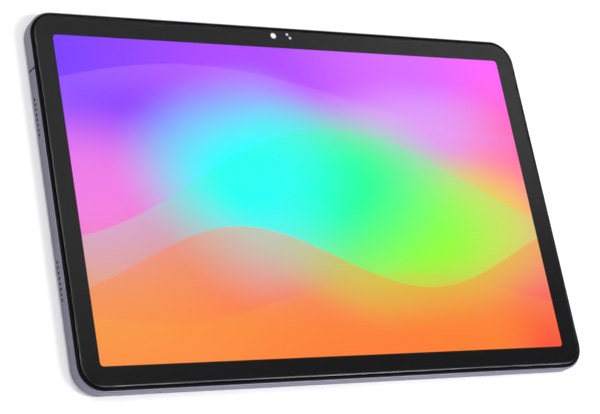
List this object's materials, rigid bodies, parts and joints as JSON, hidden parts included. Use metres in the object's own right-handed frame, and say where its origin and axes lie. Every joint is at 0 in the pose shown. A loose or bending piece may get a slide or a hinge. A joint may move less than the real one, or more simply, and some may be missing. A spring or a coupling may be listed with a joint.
{
  "type": "tablet computer",
  "caption": "Flat tablet computer lying on its back, with a lit display, a metal shell, side keys and a sliding card tray.",
  "frame": {"origin": "centre of the flat back face, which lies on the table", "axes": "+X to the right of the screen, +Y to its top edge, +Z out of the screen"},
  "size_m": [0.2368, 0.1561, 0.008],
  "materials": {
    "anodised_aluminium": "fine blasted, lilac grey anodised",
    "antenna_copper": "plated film",
    "black_print": "gloss print behind glass",
    "brass_standoff": "turned",
    "camera_black": "satin",
    "cell_foil": "laminated foil",
    "chip_black": "moulded",
    "circuit_board": "solder mask",
    "clear_acrylic": "polished",
    "clear_adhesive": "clear",
    "clear_glass": "polished",
    "connector_plastic": "moulded",
    "contact_gold": "gold plated",
    "cover_plastic": "painted to match the shell",
    "diffuser_film": "satin film",
    "display_picture": "lit picture of soft coloured waves",
    "flex_film": "polyimide film",
    "foam_black": "foam",
    "frame_plastic": "fine satin black",
    "graphite": "pressed sheet",
    "key_metal": "fine blasted, lilac grey anodised",
    "lamp_bar": "satin",
    "lamp_lens": "diffuse",
    "lcd_glass": "polished",
    "lens_glass": "polished",
    "mesh_steel": "fine woven mesh",
    "plate_metal": "cast satin",
    "ring_metal": "polished chamfer",
    "screw_steel": "plated",
    "seam_plastic": "satin",
    "sensor_plastic": "tinted",
    "sheet_steel": "pressed sheet",
    "socket_steel": "plated",
    "speaker_plastic": "moulded",
    "switch_metal": "satin",
    "tape_black": "matt foam tape",
    "tray_metal": "pressed sheet",
    "window_glass": "polished",
    "wire_insulation": "satin"
  },
  "bodies": {
    "tablet": {"antenna_cables": "wire_insulation", "antenna_cover": "cover_plastic", "backlight_led_bar": "lamp_bar", "backlight_tray": "tray_metal", "battery_cell_left": "cell_foil", "battery_cell_right": "cell_foil", "battery_lead": "wire_insulation", "battery_protection_board": "circuit_board", "battery_tape": "tape_black", "black_border": "black_print", "board_chips": "chip_black", "board_connectors": "connector_plastic", "board_screws": "screw_steel", "board_standoffs": "brass_standoff", "card_socket": "sheet_steel", "cover_glass": "clear_glass", "diffuser_sheets": "diffuser_film", "display_flex": "flex_film", "frame_screws": "screw_steel", "front_camera_lens": "lens_glass", "front_camera_module": "camera_black", "front_polariser": "display_picture", "glass_tape": "tape_black", "heat_spreader": "graphite", "key_bracket": "sheet_steel", "key_flex": "flex_film", "key_switches": "switch_metal", "lcd_panel": "lcd_glass", "light_guide": "clear_acrylic", "light_sensor": "sensor_plastic", "link_flex": "flex_film", "mainboard": "circuit_board", "microphones": "switch_metal", "mid_frame": "frame_plastic", "mid_plate": "plate_metal", "optical_adhesive": "clear_adhesive", "rear_camera_lens": "lens_glass", "rear_camera_module": "camera_black", "rear_camera_ring": "ring_metal", "rear_camera_window": "window_glass", "rear_shell": "anodised_aluminium", "seam_strip": "seam_plastic", "sensor_board": "circuit_board", "shield_cans": "sheet_steel", "speaker_gaskets": "foam_black", "speaker_left_lower": "speaker_plastic", "speaker_left_upper": "speaker_plastic", "speaker_meshes": "mesh_steel", "speaker_right_lower": "speaker_plastic", "speaker_right_upper": "speaker_plastic", "status_led": "lamp_lens", "usb_board": "circuit_board", "usb_c_contacts": "contact_gold", "usb_c_shell": "socket_steel", "usb_c_tongue": "connector_plastic", "wifi_antennas": "antenna_copper"},
    "power_key": {"power_button": "key_metal"},
    "volume_key": {"volume_rocker": "key_metal"},
    "card_carrier": {"card_tray": "key_metal"}
  },
  "joints": [
    {"name": "power_press", "type": "slide", "parent": "tablet", "child": "power_key", "axis": [0, -1, 0], "range_m": [0, 0.0003], "stiffness_N_per_m": 1000},
    {"name": "volume_rock", "type": "hinge", "parent": "tablet", "child": "volume_key", "pos_m": [-0.074, 0.07555, 0.00355], "axis": [0, 0, 1], "range_deg": [-1.6, 1.6], "stiffness_Nm_per_rad": 0.11},
    {"name": "tray_slide", "type": "slide", "parent": "tablet", "child": "card_carrier", "axis": [0, 1, 0], "range_m": [0, 0.022]}
  ]
}
